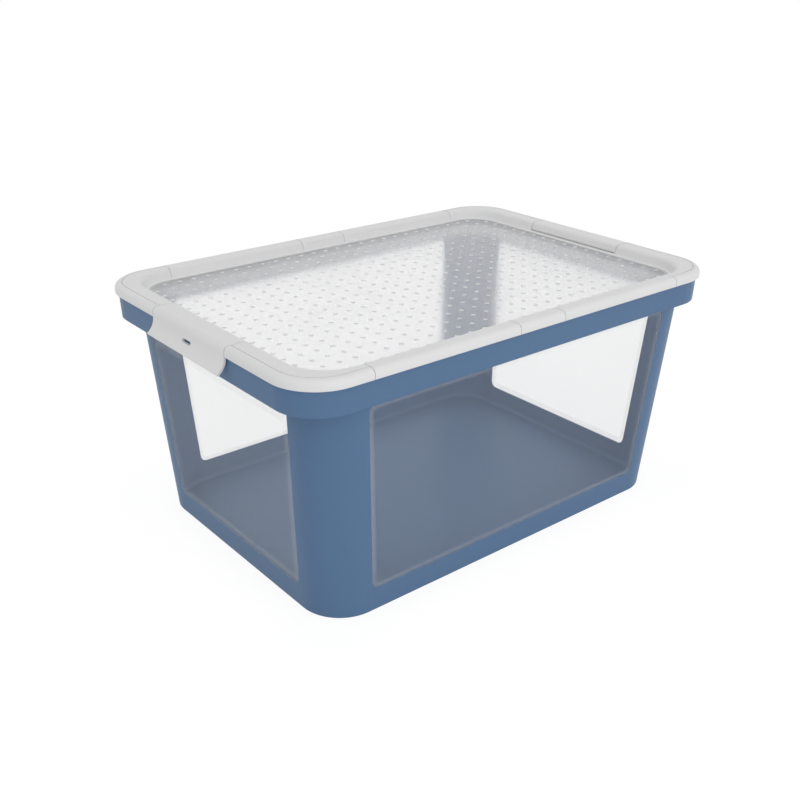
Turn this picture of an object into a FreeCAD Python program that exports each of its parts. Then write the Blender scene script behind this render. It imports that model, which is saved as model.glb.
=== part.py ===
import FreeCAD, Part
import math
import os

# Overall sizes, in millimetres: the length is taken over the clips
overall_length = 580.0
overall_width = 390.0
overall_height = 270.0

# Tub walls: drafts are slopes, outward per unit of height
end_draft = 0.068
side_draft = 0.0645
mouth_corner = 48.2
corner_draft = 0.0067
wall_thick = 2.8
floor_thick = 3.0
floor_corner_round = 5.0
base_edge_round = 1.2

# Tub rim: a flange with a hanging band
end_overhang = 18.7
side_overhang = 6.3
flange_gap = 0.9
flange_thick = 2.5
band_height = 26.2
band_inset = 3.4
band_lean = 1.2
band_wall = 2.6
band_edge_round = 1.0

# Windows
window_sill = 26.2
window_drop = 1.5
window_corner = 9.0
corner_easing = 0.8
window_margin = 4.6
window_ledge = 1.0
pane_thick = 2.0
pane_gap = 0.1
side_border = 5.0
side_border_top = 5.5
end_border = 7.0
end_border_top = 24.0
pane_recess = 0.3

# Lid rim
lid_gap = 0.3
rim_height = 10.5
rim_wall = 2.2
lid_corner = 50.0
lid_top_round = 6.0
lid_low_round = 1.4
end_rim_width = 29.1
side_rim_width = 22.6
recess_corner = 38.0
recess_depth = 10.9
recess_lean_end = 4.2
recess_lean_side = 4.7
recess_lean_corner = 4.2
recess_top_round = 5.0
recess_cove = 3.0
shelf_width = 2.7
inner_wall = 1.9
plug_depth = 24.5
plug_wall = 1.9
plug_gap = 1.7

# Lid panel
panel_thick = 2.0
panel_gap = 0.1
panel_ledge = 3.5
panel_ledge_thick = 1.6

# Fine lines on the lid rim
line_width = 0.8
line_depth = 1.0
corner_line_in = 75.0
middle_line_half = 30.8
crease_inset = 7.5

# Clips: hoods over the rim that turn on moulded trunnions
clip_width = 138.0
clip_gap = 0.8
clip_wall = 2.4
clip_flare = 8.35
clip_reach = 15.0
clip_bend_rise = 0.5
clip_tip_round = 0.9
pivot_rise = 3.3
barrel_radius = 2.6
trunnion_radius = 1.6
trunnion_length = 3.0
trunnion_end_gap = 0.2
hinge_clearance = 0.06
socket_wall = 0.8
bridge_thick = 2.0
bridge_gap = 0.8
lip_rise = 1.0

# Catch: a nose on the band that reaches into a slot in the clip
slot_width = 16.0
slot_height = 3.8
slot_drop = 5.3
slot_corner = 1.5
nose_side_gap = 1.0
nose_back = 1.3
nose_tip_height = 0.6
nose_root_height = 2.5
nose_root = 1.5

# How far a cutting shape runs past what it cuts
spare = 1.0

# Heights that follow from the values above
lid_low = overall_height - rim_height
panel_top = overall_height - recess_depth
bridge_low = panel_top - bridge_thick
flange_top = bridge_low - flange_gap
band_top = lid_low - lid_gap
band_low = band_top - band_height
window_head = band_low - window_drop
plug_low = lid_low - plug_depth
ledge_top = panel_top - panel_thick
ledge_low = ledge_top - panel_ledge_thick
bend_z = lid_low + clip_bend_rise
tip_z = lid_low - clip_reach
pivot_z = panel_top + pivot_rise
slot_z = lid_low - slot_drop

# The clip's lower face is an arc, and its rounded tip is the end of the overall length
bend_height = bend_z - tip_z
bend_radius = (clip_flare ** 2 + bend_height ** 2) / (2 * clip_flare)
bend_sweep = math.asin(bend_height / bend_radius)
tip_centre_radius = bend_radius + clip_tip_round
tip_centre_sweep = bend_sweep - math.asin(clip_tip_round / tip_centre_radius)
clip_out = tip_centre_radius * (1 - math.cos(tip_centre_sweep))

# Half sizes that follow from the values above
lid_x = overall_length / 2 - clip_out
lid_y = overall_width / 2
recess_x = lid_x - end_rim_width
recess_y = lid_y - side_rim_width
panel_x = recess_x - shelf_width
panel_y = recess_y - shelf_width
panel_corner = recess_corner - shelf_width
band_x = lid_x - band_inset
band_y = lid_y - band_inset
band_corner = lid_corner - band_inset
mouth_x = band_x - end_overhang
mouth_y = band_y - side_overhang
plug_inset = wall_thick + plug_gap
lip_x = recess_x + inner_wall
corner_line_x = lid_x - corner_line_in
clip_half = clip_width / 2
notch_half = clip_half + clip_gap
socket_half = notch_half + trunnion_length + trunnion_end_gap
cheek_half = socket_half + socket_wall

# The barrel of the clip touches the leaning inner face of the rim
lean = recess_lean_end / recess_depth
lean_length = math.hypot(lean, 1.0)
pivot_x = recess_x + pivot_rise * lean + barrel_radius * lean_length


def vec(x, y, z):
    return FreeCAD.Vector(x, y, z)


def box(x0, x1, y0, y1, z0, z1):
    return Part.makeBox(x1 - x0, y1 - y0, z1 - z0, vec(x0, y0, z0))


def polygon(points):
    return Part.Face(Part.makePolygon(points + points[:1]))


def loop(half_length, half_width, radius, z):
    # rounded rectangle, level, centred on the vertical axis
    cx = half_length - radius
    cy = half_width - radius
    middle = radius * math.sqrt(0.5)
    edges = []
    last = vec(-half_length, -cy, z)
    for sx, sy in ((-1, -1), (1, -1), (1, 1), (-1, 1)):
        on_side = vec(sx * half_length, sy * cy, z)
        on_end = vec(sx * cx, sy * half_width, z)
        first, follow = (on_side, on_end) if sx * sy > 0 else (on_end, on_side)
        if first.distanceToPoint(last) > 0:
            edges.append(Part.makeLine(last, first))
        edges.append(Part.Arc(first, vec(sx * (cx + middle), sy * (cy + middle), z), follow).toShape())
        last = follow
    edges.append(Part.makeLine(last, vec(-half_length, -cy, z)))
    return Part.Wire(edges)


def prism(half_length, half_width, radius, z0, z1):
    return Part.Face(loop(half_length, half_width, radius, z0)).extrude(vec(0, 0, z1 - z0))


def ring(half_length, half_width, radius, thick, z0, z1):
    outer = prism(half_length, half_width, radius, z0, z1)
    return outer.cut(prism(half_length - thick, half_width - thick, radius - thick, z0 - spare, z1 + spare))


def round_level(shape, z, radius, limit_x=overall_length, limit_y=overall_width):
    # rounds the edges that lie at one height inside the given limits
    chosen = []
    for edge in shape.Edges:
        b = edge.BoundBox
        level = abs(b.ZMin - z) < 0.001 and abs(b.ZMax - z) < 0.001
        if level and max(b.XMax, -b.XMin) < limit_x and max(b.YMax, -b.YMin) < limit_y:
            chosen.append(edge)
    return shape.makeFillet(radius, chosen)


def round_along(shape, axis, length, radius, places=None):
    # rounds straight edges that run along an axis, all of them or those through the given points
    chosen = []
    for edge in shape.Edges:
        b = edge.BoundBox
        span, across = (b.XLength, b.YLength + b.ZLength) if axis == "x" else (b.YLength, b.XLength + b.ZLength)
        if abs(span - length) > 0.01 or across > 0.01:
            continue
        m = edge.CenterOfMass
        if places is None or any(math.hypot(m.x - p.x, m.z - p.z) < 0.05 for p in places):
            chosen.append(edge)
    return shape.makeFillet(radius, chosen)


def mirror_x(shape):
    return shape.mirror(vec(0, 0, 0), vec(1, 0, 0))


def mirror_y(shape):
    return shape.mirror(vec(0, 0, 0), vec(0, 1, 0))


def cut_both_ends(shape, tool):
    return shape.cut(tool).cut(mirror_x(tool))


def write(name, shape):
    solid = shape.Solids[0] if len(shape.Solids) == 1 else shape
    print(name, len(shape.Solids), solid.isValid(), round(solid.Volume, 1))
    solid.exportStep("parts/" + name + ".step")


# Tub walls as drafted rounded boxes
def half_x(z):
    return mouth_x - end_draft * (flange_top - z)


def half_y(z):
    return mouth_y - side_draft * (flange_top - z)


def corner(z):
    return mouth_corner - corner_draft * (flange_top - z)


def tub_box(inset, z0, z1):
    loops = [loop(half_x(z) - inset, half_y(z) - inset, corner(z) - inset, z) for z in (z0, z1)]
    return Part.makeLoft(loops, True, True)


def wall_skin(outset, depth):
    # the outer layer of the tub walls
    shell = tub_box(-outset, -spare, overall_height)
    return shell.cut(tub_box(depth, -2 * spare, overall_height + spare))


def window_bar(wall, inset, top_inset):
    # outline of a window as a level bar through the front or the left wall, kept to the flat of the wall
    across, outward = (half_x, half_y) if wall == "front" else (half_y, half_x)
    sill = window_sill + inset
    head = window_head - top_inset
    low = across(sill) - corner(sill) - window_margin - inset
    high = across(head) - corner(head) - window_margin - inset
    near = -outward(sill) / 2
    length = outward(head)
    corners = ((-low, sill), (low, sill), (high, head), (-high, head))
    radius = window_corner - corner_easing * inset
    if wall == "front":
        bar = polygon([vec(u, near, z) for u, z in corners]).extrude(vec(0, -length, 0))
        return round_along(bar, "y", length, radius)
    bar = polygon([vec(near, u, z) for u, z in corners]).extrude(vec(-length, 0, 0))
    return round_along(bar, "x", length, radius)


def build_band():
    foot = (band_x - band_lean, band_y - band_lean, band_corner - band_lean)
    band = Part.makeLoft([loop(*foot, band_low), loop(band_x, band_y, band_corner, band_top)], True, True)
    band = round_level(band, band_low, band_edge_round)
    under = prism(*[size - band_wall for size in foot], band_low - spare, flange_top - flange_thick)
    over = prism(band_x - band_wall, band_y - band_wall, band_corner - band_wall, flange_top, band_top + spare)
    return band.cut(under).cut(over)


def build_nose():
    # catch on the band at the right end, sloping below so that the clip's edge can pass
    tip = lid_x - nose_back
    root = band_x - nose_root
    top = slot_z + slot_height / 2 - clip_gap
    half = slot_width / 2 - nose_side_gap
    points = [vec(root, -half, top), vec(tip, -half, top), vec(tip, -half, top - nose_tip_height),
              vec(root, -half, top - nose_root_height)]
    return polygon(points).extrude(vec(0, 2 * half, 0))


def build_frame():
    outer = round_level(tub_box(0, 0, flange_top), 0, base_edge_round)
    inner = round_level(tub_box(wall_thick, floor_thick, overall_height), floor_thick, floor_corner_round)
    frame = outer.fuse(build_band()).cut(inner)
    skin = wall_skin(spare, pane_thick)
    for tool in (skin.common(window_bar("front", 0, 0)), window_bar("front", window_ledge, window_ledge)):
        frame = frame.cut(tool).cut(mirror_y(tool))
    for tool in (skin.common(window_bar("left", 0, 0)), window_bar("left", window_ledge, window_ledge)):
        frame = cut_both_ends(frame, tool)
    nose = build_nose()
    return frame.fuse(nose).fuse(mirror_x(nose)).removeSplitter()


def build_window(wall, border, top_border):
    # a plate that fills the rebate, sunk a little inside its border on both faces
    depth = pane_thick - pane_gap / 2
    plate = wall_skin(0, depth).common(window_bar(wall, pane_gap, pane_gap))
    middle = window_bar(wall, border, top_border)
    outer_sunk = wall_skin(spare, pane_recess).common(middle)
    inner_sunk = wall_skin(pane_recess - depth, depth + spare).common(middle)
    return plate.cut(outer_sunk).cut(inner_sunk)


# Lid rim
def recess(offset, z_low):
    # space inside the rim: upright at the panel, then a coved shelf and a wall that leans outward
    high = overall_height + spare
    rise = (high - panel_top) / recess_depth
    foot = (recess_x + offset, recess_y + offset, recess_corner + offset)
    leans = (recess_lean_end, recess_lean_side, recess_lean_corner)
    mouth = [size + slope * rise for size, slope in zip(foot, leans)]
    bowl = Part.makeLoft([loop(*foot, panel_top), loop(*mouth, high)], True, True)
    bowl = round_level(bowl, panel_top, recess_cove)
    return bowl.fuse(prism(panel_x, panel_y, panel_corner, z_low, panel_top + recess_cove))


def rim_body(inset):
    # the rim as a full ring, before it is hollowed and notched
    top = overall_height - inset
    body = prism(lid_x - inset, lid_y - inset, lid_corner - inset, lid_low, top)
    body = round_level(body, top, lid_top_round - inset)
    body = round_level(body, lid_low, lid_low_round)
    sill = prism(recess_x + inner_wall, recess_y + inner_wall, recess_corner + inner_wall, ledge_low, lid_low + spare)
    bridge_end = band_x - band_wall - bridge_gap
    bridge = box(panel_x, bridge_end, -cheek_half, cheek_half, bridge_low, lid_low + lid_low_round + spare)
    body = body.fuse(sill).fuse(bridge).fuse(mirror_x(bridge)).cut(recess(inset, ledge_low - spare))
    limit_x = (recess_x + recess_lean_end + lid_x - lid_top_round) / 2
    limit_y = (recess_y + recess_lean_side + lid_y - lid_top_round) / 2
    return round_level(body, top, recess_top_round, limit_x, limit_y)


def rim_hollow():
    # space under the rim, left solid at the clips' cheeks and bridges
    space = prism(lid_x - rim_wall, lid_y - rim_wall, lid_corner - rim_wall, lid_low - spare, overall_height - rim_wall)
    space = space.cut(recess(inner_wall, ledge_low - spare))
    space = space.cut(prism(recess_x + inner_wall, recess_y + inner_wall, recess_corner + inner_wall,
                            lid_low - 2 * spare, panel_top + recess_cove))
    keep = box(panel_x / 2, lid_x + spare, -cheek_half, cheek_half, ledge_low, overall_height)
    return cut_both_ends(space, keep)


def build_plug():
    # rib that hangs from the rim along the tub's walls, and ends inside the wall of the recess
    high = overall_height - rim_wall / 2
    rib = tub_box(plug_inset, plug_low, high).cut(tub_box(plug_inset + plug_wall, plug_low - spare, high + spare))
    space = recess(inner_wall / 2, ledge_low - spare)
    space.translate(vec(0, 0, -inner_wall / 2))
    return rib.cut(space)


def rim_lines():
    # fine grooves: seams across the long rims, and a crease along the top of each corner
    skin = rim_body(0).cut(rim_body(line_depth))
    low = panel_top - spare
    high = overall_height + spare
    crease = ring(lid_x - crease_inset, lid_y - crease_inset, lid_corner - crease_inset, line_width, low, high)
    crease = crease.cut(box(-corner_line_x, corner_line_x, -lid_y, lid_y, low - spare, high + spare))
    top_only = box(-lid_x, lid_x, -lid_y, lid_y, overall_height - 2 * line_depth, high)
    lines = [crease.common(skin).common(top_only)]
    for x in (-corner_line_x, -middle_line_half, middle_line_half, corner_line_x):
        slab = box(x - line_width / 2, x + line_width / 2, -lid_y - spare, lid_y + spare, panel_top + line_depth, high)
        lines.append(slab.common(skin))
    return lines


def build_rim():
    body = rim_body(0).cut(rim_hollow()).fuse(build_plug())
    body = body.fuse(ring(panel_x + inner_wall, panel_y + inner_wall, panel_corner + inner_wall,
                          panel_ledge + inner_wall, ledge_low, ledge_top))
    high = overall_height + spare
    notch = box(lip_x, lid_x + spare, -notch_half, notch_half, panel_top, high)
    step = box(panel_x, lip_x + spare, -notch_half, notch_half, panel_top + lip_rise, high)
    socket = Part.makeCylinder(trunnion_radius + hinge_clearance, 2 * socket_half,
                               vec(pivot_x, -socket_half, pivot_z), vec(0, 1, 0))
    for tool in (notch, step, socket):
        body = cut_both_ends(body, tool)
    for line in rim_lines():
        body = body.cut(line)
    return body.removeSplitter()


def build_panel():
    return prism(panel_x - panel_gap, panel_y - panel_gap, panel_corner - panel_gap, ledge_top, panel_top)


# Clip at the right end, drawn as a section and run along its width
def build_clip():
    def at(x, z):
        return vec(x, -clip_half, z)

    def on_bend(radius, angle):
        return at(lid_x + bend_radius - radius * math.cos(angle), bend_z - radius * math.sin(angle))

    inner_radius = bend_radius + clip_wall
    touch_z = pivot_z + barrel_radius * lean / lean_length
    touch_x = recess_x + (touch_z - panel_top) * lean
    under = overall_height - clip_wall
    skin = clip_wall * lean_length
    foot = at(touch_x, touch_z)
    inner_top = at(recess_x + recess_lean_end, overall_height)
    outer_top = at(lid_x, overall_height)
    bend_start = at(lid_x, bend_z)
    tip = on_bend(bend_radius, bend_sweep)
    tip_back = on_bend(inner_radius, bend_sweep)
    bend_back = at(lid_x - clip_wall, bend_z)
    outer_under = at(lid_x - clip_wall, under)
    inner_under = at(recess_x + (under - panel_top) * lean + skin, under)
    foot_back = at(touch_x + skin, touch_z)
    edges = [Part.makeLine(foot, inner_top), Part.makeLine(inner_top, outer_top), Part.makeLine(outer_top, bend_start),
             Part.Arc(bend_start, on_bend(bend_radius, bend_sweep / 2), tip).toShape(), Part.makeLine(tip, tip_back),
             Part.Arc(tip_back, on_bend(inner_radius, bend_sweep / 2), bend_back).toShape(),
             Part.makeLine(bend_back, outer_under), Part.makeLine(outer_under, inner_under),
             Part.makeLine(inner_under, foot_back), Part.makeLine(foot_back, foot)]
    hood = Part.Face(Part.Wire(edges)).extrude(vec(0, clip_width, 0))
    hood = round_along(hood, "y", clip_width, recess_top_round, [inner_top])
    hood = round_along(hood, "y", clip_width, lid_top_round, [outer_top])
    hood = round_along(hood, "y", clip_width, lid_top_round - clip_wall, [outer_under])
    hood = round_along(hood, "y", clip_width, clip_tip_round, [tip, tip_back])
    barrel = Part.makeCylinder(barrel_radius, clip_width, vec(pivot_x, -clip_half, pivot_z), vec(0, 1, 0))
    pin_half = clip_half + trunnion_length
    trunnions = Part.makeCylinder(trunnion_radius, 2 * pin_half, vec(pivot_x, -pin_half, pivot_z), vec(0, 1, 0))
    slot_in = band_x
    slot_out = lid_x + clip_flare
    slot = box(slot_in, slot_out, -slot_width / 2, slot_width / 2, slot_z - slot_height / 2, slot_z + slot_height / 2)
    slot = round_along(slot, "x", slot_out - slot_in, slot_corner)
    return hood.fuse(barrel).fuse(trunnions).cut(slot).removeSplitter()


os.makedirs("parts", exist_ok=True)
front_window = build_window("front", side_border, side_border_top)
left_window = build_window("left", end_border, end_border_top)
right_clip = build_clip()
write("tub_frame", build_frame())
write("front_window", front_window)
write("back_window", mirror_y(front_window))
write("left_window", left_window)
write("right_window", mirror_x(left_window))
write("lid_rim", build_rim())
write("lid_panel", build_panel())
write("right_clip", right_clip)
write("left_clip", mirror_x(right_clip))
print("pivot", round(pivot_x, 4), round(pivot_z, 4))
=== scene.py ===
import math

import bmesh
import bpy
from mathutils import Matrix, Vector


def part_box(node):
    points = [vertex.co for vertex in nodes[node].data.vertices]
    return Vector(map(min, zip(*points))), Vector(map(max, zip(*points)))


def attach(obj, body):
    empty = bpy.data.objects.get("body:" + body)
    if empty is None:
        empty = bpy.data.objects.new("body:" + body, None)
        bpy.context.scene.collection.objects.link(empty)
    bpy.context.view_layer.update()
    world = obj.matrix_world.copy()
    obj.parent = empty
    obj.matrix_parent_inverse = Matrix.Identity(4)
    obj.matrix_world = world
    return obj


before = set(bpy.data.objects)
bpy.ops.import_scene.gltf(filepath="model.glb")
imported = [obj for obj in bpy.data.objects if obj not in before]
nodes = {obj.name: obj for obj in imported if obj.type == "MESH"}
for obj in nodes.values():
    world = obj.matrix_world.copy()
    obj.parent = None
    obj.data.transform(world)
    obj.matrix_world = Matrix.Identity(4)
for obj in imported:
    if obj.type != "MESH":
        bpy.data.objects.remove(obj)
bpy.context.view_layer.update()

scene = bpy.context.scene

# Camera, in metres and degrees: the photograph's viewing angle
camera_place = Vector((-0.69855, -0.83079, 0.60362))
camera_azimuth = -39.2059
camera_elevation = 24.2722
camera_roll = -0.2864
camera_lens = 46.021
sensor_width = 36.0

# Colours, linear
blue = (0.099, 0.180, 0.312)
white = (0.775, 0.775, 0.78)
pane_tint = (0.80, 0.81, 0.82)
frost_tint = (0.98, 0.98, 0.985)
floor_grey = (0.85, 0.85, 0.85)

# Surfaces: roughness and how far it varies, gloss, cloudiness and the fine moulded grain
blue_rough = 0.42
white_rough = 0.40
moulded_rough_change = 0.04
moulded_gloss = 0.15
moulded_cloud = 0.02
grain_scale = 1400
grain_strength = 0.12
grain_depth = 0.00005
pane_rough = 0.16
pane_cloud = 0.02
frost_rough_change = 0.02
frost_cloud = 0.01
frost_index = 1.25
floor_rough = 0.9
noise_low = 0.3
noise_high = 0.7

# Clear panes: how much of each face is veiled, their thickness, and which way and how far each wall leans
side_veil = 0.06
end_veil = 0.09
border_veil = 0.06
pane_thick = 0.00195
pane_recess = 0.0003
side_slope = 0.0645
end_slope = 0.068
walls = {"front_window": (Vector((0, -1, 0)), side_slope, side_veil),
         "back_window": (Vector((0, 1, 0)), side_slope, side_veil),
         "left_window": (Vector((-1, 0, 0)), end_slope, end_veil),
         "right_window": (Vector((1, 0, 0)), end_slope, end_veil)}

# Lid panel: its corner radius, the strip that rests on the ledge (made less clear so it shows whiter,
# painted light standing in for the light the white ledge below would catch), how much light passes each,
# and roughness
panel_corner = 0.0352
seat_width = 0.0042
seat_blend = 0.0006
panel_through = 0.84
seat_painted_light_through = 0.40
panel_rough = 0.13

# Marks on the lid panel
mark_step_x = 0.01788
mark_step_y = 0.01758
mark_half_x = 0.0028
mark_half_y = 0.00245
mark_arm = 0.0007
mark_height = 0.00045
mark_slope = 0.00025
mark_root = 0.0001
mark_margin = 0.007
mark_through = 0.15
mark_rough = 0.40

# Light
world_light = 0.74
lamp_size = 2.0
lamp_aim = Vector((0, 0, 0.13))
lamps = {"front": (18.0, Vector((-0.2, -2.4, 0.4))), "left": (3.5, Vector((-1.2, -0.3, 2.4)))}
floor_size = 12.0
floor_glow = 0.8
glow_strength = 1.1


def link(tree, source, target):
    tree.links.new(source, target)


def new_material(name):
    material = bpy.data.materials.new(name)
    material.use_nodes = True
    tree = material.node_tree
    shader = tree.nodes["Principled BSDF"]
    return material, tree, shader


def noise(tree, scale, detail):
    place = tree.nodes.new("ShaderNodeTexCoord")
    grain = tree.nodes.new("ShaderNodeTexNoise")
    grain.inputs["Scale"].default_value = scale
    grain.inputs["Detail"].default_value = detail
    link(tree, place.outputs["Object"], grain.inputs["Vector"])
    return grain.outputs["Fac"]


def map_range(tree, value, from_low, from_high, to_low, to_high):
    scale = tree.nodes.new("ShaderNodeMapRange")
    scale.inputs["From Min"].default_value = from_low
    scale.inputs["From Max"].default_value = from_high
    scale.inputs["To Min"].default_value = to_low
    scale.inputs["To Max"].default_value = to_high
    link(tree, value, scale.inputs["Value"])
    return scale.outputs["Result"]


def spread(tree, value, middle, change):
    # maps the middle of a noise onto a range around a value
    return map_range(tree, value, noise_low, noise_high, middle - change, middle + change)


def tones(tree, value, colour, change):
    # two close tones of a colour, mixed by a noise
    mix = tree.nodes.new("ShaderNodeMix")
    mix.data_type = "RGBA"
    mix.inputs["A"].default_value = [c * (1 - change) for c in colour] + [1]
    mix.inputs["B"].default_value = [min(1, c * (1 + change)) for c in colour] + [1]
    link(tree, value, mix.inputs["Factor"])
    return mix.outputs["Result"]


def grain_bump(tree):
    bump = tree.nodes.new("ShaderNodeBump")
    bump.inputs["Strength"].default_value = grain_strength
    bump.inputs["Distance"].default_value = grain_depth
    link(tree, noise(tree, scale=grain_scale, detail=2), bump.inputs["Height"])
    return bump.outputs["Normal"]


def moulded_plastic(name, colour, rough):
    # satin plastic with a faint cloudiness and a fine moulded grain
    material, tree, shader = new_material(name)
    clouds = noise(tree, scale=14, detail=3)
    patches = noise(tree, scale=220, detail=2)
    link(tree, tones(tree, clouds, colour, moulded_cloud), shader.inputs["Base Color"])
    link(tree, spread(tree, patches, rough, moulded_rough_change), shader.inputs["Roughness"])
    link(tree, grain_bump(tree), shader.inputs["Normal"])
    shader.inputs["Specular IOR Level"].default_value = moulded_gloss
    return material


def on_middle(tree, outward, slope, node):
    # one on the sunk middle of both faces of a pane, zero on their raised border
    low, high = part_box(node)
    reach = max(abs(outward.dot(low)), abs(outward.dot(high)))
    place = tree.nodes.new("ShaderNodeTexCoord")
    along = tree.nodes.new("ShaderNodeVectorMath")
    along.operation = "DOT_PRODUCT"
    along.inputs[1].default_value = outward - slope * Vector((0, 0, 1))
    link(tree, place.outputs["Object"], along.inputs[0])
    middle = tree.nodes.new("ShaderNodeMath")
    middle.operation = "COMPARE"
    middle.inputs[1].default_value = reach - slope * high.z - pane_thick / 2
    middle.inputs[2].default_value = pane_thick / 2 - pane_recess / 2
    link(tree, along.outputs["Value"], middle.inputs[0])
    return middle.outputs["Value"]


def clear_pane(name, outward, slope, pane_veil, node):
    # clear plastic with a faint veil, hazier on the raised border of each face
    material, tree, shader = new_material(name)
    clouds = noise(tree, scale=9, detail=2)
    link(tree, tones(tree, clouds, pane_tint, pane_cloud), shader.inputs["Base Color"])
    shader.inputs["Roughness"].default_value = pane_rough
    veil = tree.nodes.new("ShaderNodeMix")
    veil.inputs["A"].default_value = pane_veil + border_veil
    veil.inputs["B"].default_value = pane_veil
    link(tree, on_middle(tree, outward, slope, node), veil.inputs["Factor"])
    link(tree, veil.outputs["Result"], shader.inputs["Alpha"])
    return material


def corner_distance(tree):
    # distance from the centres of the panel's rounded corners, and from the lines that join them
    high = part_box("lid_panel")[1]
    place = tree.nodes.new("ShaderNodeTexCoord")
    value = place.outputs["Object"]
    centre = (high.x - panel_corner, high.y - panel_corner, 0)
    steps = (("MULTIPLY", (1, 1, 0)), ("ABSOLUTE", None), ("SUBTRACT", centre), ("MAXIMUM", (0, 0, 0)))
    for operation, amount in steps:
        step = tree.nodes.new("ShaderNodeVectorMath")
        step.operation = operation
        if amount:
            step.inputs[1].default_value = amount
        link(tree, value, step.inputs[0])
        value = step.outputs["Vector"]
    length = tree.nodes.new("ShaderNodeVectorMath")
    length.operation = "LENGTH"
    link(tree, value, length.inputs[0])
    return length.outputs["Value"]


def frosted_sheet(name, through, rough):
    # milky plastic that blurs what lies below it
    material, tree, shader = new_material(name)
    clouds = noise(tree, scale=11, detail=3)
    patches = noise(tree, scale=12, detail=2)
    link(tree, tones(tree, clouds, frost_tint, frost_cloud), shader.inputs["Base Color"])
    link(tree, spread(tree, patches, rough, frost_rough_change), shader.inputs["Roughness"])
    shader.inputs["IOR"].default_value = frost_index
    shader.inputs["Transmission Weight"].default_value = through
    return material


def sheet_with_painted_light_seat(name):
    # the frosted sheet of the panel, whiter on the strip that rests on the ledge: painted light standing in
    # for the light that would reach the white ledge beneath
    material = frosted_sheet(name, panel_through, panel_rough)
    tree = material.node_tree
    start = panel_corner - seat_width
    # painted light: the strip over the ledge lets less through, so the sheet's own white shows there
    clear = map_range(tree, corner_distance(tree), start, start + seat_blend, panel_through, seat_painted_light_through)
    link(tree, clear, tree.nodes["Principled BSDF"].inputs["Transmission Weight"])
    return material


def dress(name, material):
    node = nodes[name]
    if not node.material_slots:
        node.data.materials.append(material)
    for slot in node.material_slots:
        slot.material = material


def inside_panel(x, y, half_x, half_y):
    # whether a mark's centre lies on the rounded panel
    corner = panel_corner - mark_margin
    over_x = max(0, abs(x) - (half_x - mark_margin - corner))
    over_y = max(0, abs(y) - (half_y - mark_margin - corner))
    return math.hypot(over_x, over_y) <= corner


def plus_outline(shrink):
    # corners of a plus, with its sides moved inward
    half_x = mark_half_x - shrink
    half_y = mark_half_y - shrink
    arm = mark_arm - shrink
    return [(half_x, -arm), (half_x, arm), (arm, arm), (arm, half_y), (-arm, half_y), (-arm, arm),
            (-half_x, arm), (-half_x, -arm), (-arm, -arm), (-arm, -half_y), (arm, -half_y), (arm, -arm)]


def add_mark(mesh, x, y, z):
    # a small embossed plus with sloping sides
    foot = [mesh.verts.new((x + u, y + v, z - mark_root)) for u, v in plus_outline(0)]
    top = [mesh.verts.new((x + u, y + v, z + mark_height)) for u, v in plus_outline(mark_slope)]
    for i in range(len(foot)):
        j = (i + 1) % len(foot)
        mesh.faces.new((foot[i], foot[j], top[j], top[i]))
    mesh.faces.new(top)
    mesh.faces.new(foot[::-1])


def build_marks(material):
    # rows through the middle of the panel, columns half a step beside it
    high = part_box("lid_panel")[1]
    mesh = bmesh.new()
    columns = round(high.x / mark_step_x)
    rows = int(high.y / mark_step_y)
    for i in range(-columns, columns):
        x = (i + 0.5) * mark_step_x
        for j in range(-rows, rows + 1):
            y = j * mark_step_y
            if inside_panel(x, y, high.x, high.y):
                add_mark(mesh, x, y, high.z)
    data = bpy.data.meshes.new("lid_marks")
    mesh.to_mesh(data)
    mesh.free()
    data.materials.append(material)
    marks = bpy.data.objects.new("lid_marks", data)
    scene.collection.objects.link(marks)
    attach(marks, "lid")


def set_camera():
    data = bpy.data.cameras.new("camera")
    data.lens = camera_lens
    data.sensor_width = sensor_width
    turn = math.radians(camera_azimuth)
    rise = math.radians(camera_elevation)
    roll = math.radians(camera_roll)
    forward = Vector((-math.sin(turn) * math.cos(rise), math.cos(turn) * math.cos(rise), -math.sin(rise)))
    level = Vector((math.cos(turn), math.sin(turn), 0))
    plumb = forward.cross(level)
    right = math.cos(roll) * level + math.sin(roll) * plumb
    down = math.cos(roll) * plumb - math.sin(roll) * level
    facing = Matrix((right, -down, -forward)).transposed()
    camera = bpy.data.objects.new("camera", data)
    camera.matrix_world = Matrix.Translation(camera_place) @ facing.to_4x4()
    scene.collection.objects.link(camera)
    scene.camera = camera


def seen_directly(tree):
    # one for rays that show a surface to the camera, straight or in gloss or clear plastic
    path = tree.nodes.new("ShaderNodeLightPath")
    total = path.outputs["Is Camera Ray"]
    for name in ("Is Glossy Ray", "Is Transmission Ray"):
        add = tree.nodes.new("ShaderNodeMath")
        add.operation = "MAXIMUM"
        link(tree, total, add.inputs[0])
        link(tree, path.outputs[name], add.inputs[1])
        total = add.outputs["Value"]
    return total


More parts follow.
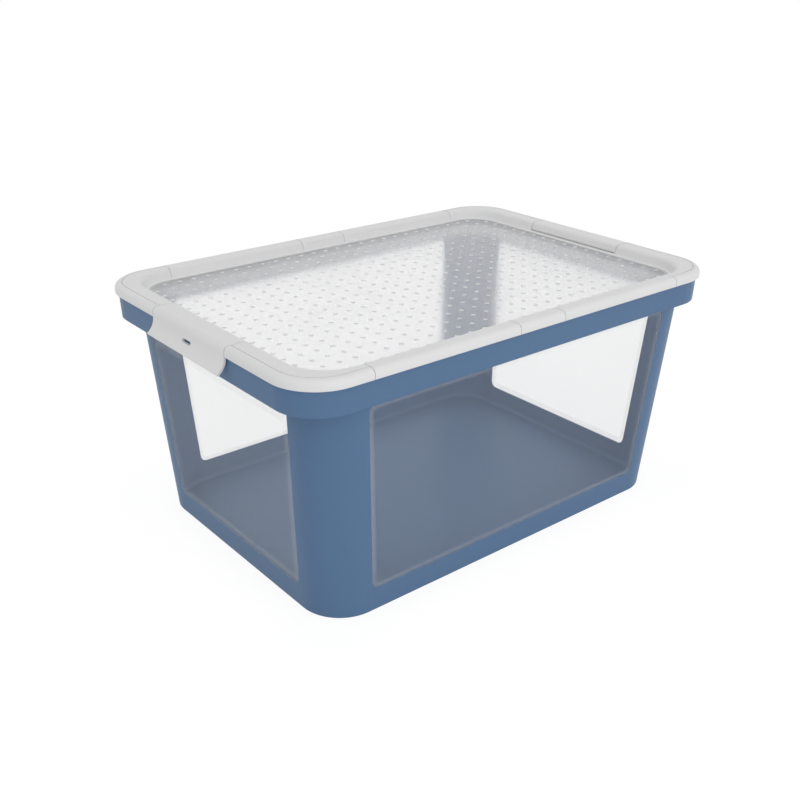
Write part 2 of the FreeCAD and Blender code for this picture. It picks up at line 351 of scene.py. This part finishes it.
def set_world():
    # soft light from all around, seen as plain white
    world = bpy.data.worlds.new("studio")
    world.use_nodes = True
    scene.world = world
    tree = world.node_tree
    background = tree.nodes["Background"]
    background.inputs["Color"].default_value = (1, 1, 1, 1)
    strength = tree.nodes.new("ShaderNodeMix")
    strength.inputs["A"].default_value = world_light
    strength.inputs["B"].default_value = 1.0
    link(tree, seen_directly(tree), strength.inputs["Factor"])
    link(tree, strength.outputs["Result"], background.inputs["Strength"])


def build_floor():
    # pale floor that glows where it is seen, and still takes a shadow
    bpy.ops.mesh.primitive_plane_add(size=floor_size)
    floor = bpy.context.object
    floor.name = "floor"
    material, tree, shader = new_material("floor")
    shader.inputs["Base Color"].default_value = (*floor_grey, 1)
    shader.inputs["Roughness"].default_value = floor_rough
    shader.inputs["Specular IOR Level"].default_value = 0
    glow = tree.nodes.new("ShaderNodeEmission")
    glow.inputs["Strength"].default_value = glow_strength
    mix = tree.nodes.new("ShaderNodeMixShader")
    share = tree.nodes.new("ShaderNodeMath")
    share.operation = "MULTIPLY"
    share.inputs[1].default_value = floor_glow
    link(tree, seen_directly(tree), share.inputs[0])
    link(tree, share.outputs["Value"], mix.inputs["Fac"])
    link(tree, shader.outputs["BSDF"], mix.inputs[1])
    link(tree, glow.outputs["Emission"], mix.inputs[2])
    link(tree, mix.outputs["Shader"], tree.nodes["Material Output"].inputs["Surface"])
    floor.data.materials.append(material)


def add_lamp(name, power, place):
    data = bpy.data.lights.new(name, "AREA")
    data.energy = power
    data.size = lamp_size
    lamp = bpy.data.objects.new(name, data)
    lamp.location = place
    lamp.rotation_euler = (lamp_aim - place).to_track_quat("-Z", "Y").to_euler()
    lamp.visible_camera = False
    scene.collection.objects.link(lamp)


scene.view_settings.view_transform = "Standard"
set_camera()
set_world()
build_floor()
for name, (power, place) in lamps.items():
    add_lamp(name, power, place)
blue_plastic = moulded_plastic("blue_plastic", blue, blue_rough)
white_plastic = moulded_plastic("white_plastic", white, white_rough)
frosted_plastic = sheet_with_painted_light_seat("frosted_plastic")
embossed_plastic = frosted_sheet("embossed_plastic", mark_through, mark_rough)
dress("tub_frame", blue_plastic)
for name in ("lid_rim", "left_clip", "right_clip"):
    dress(name, white_plastic)
dress("lid_panel", frosted_plastic)
for name, (outward, slope, veil) in walls.items():
    dress(name, clear_pane(name + "_clear", outward, slope, veil, name))
build_marks(embossed_plastic)
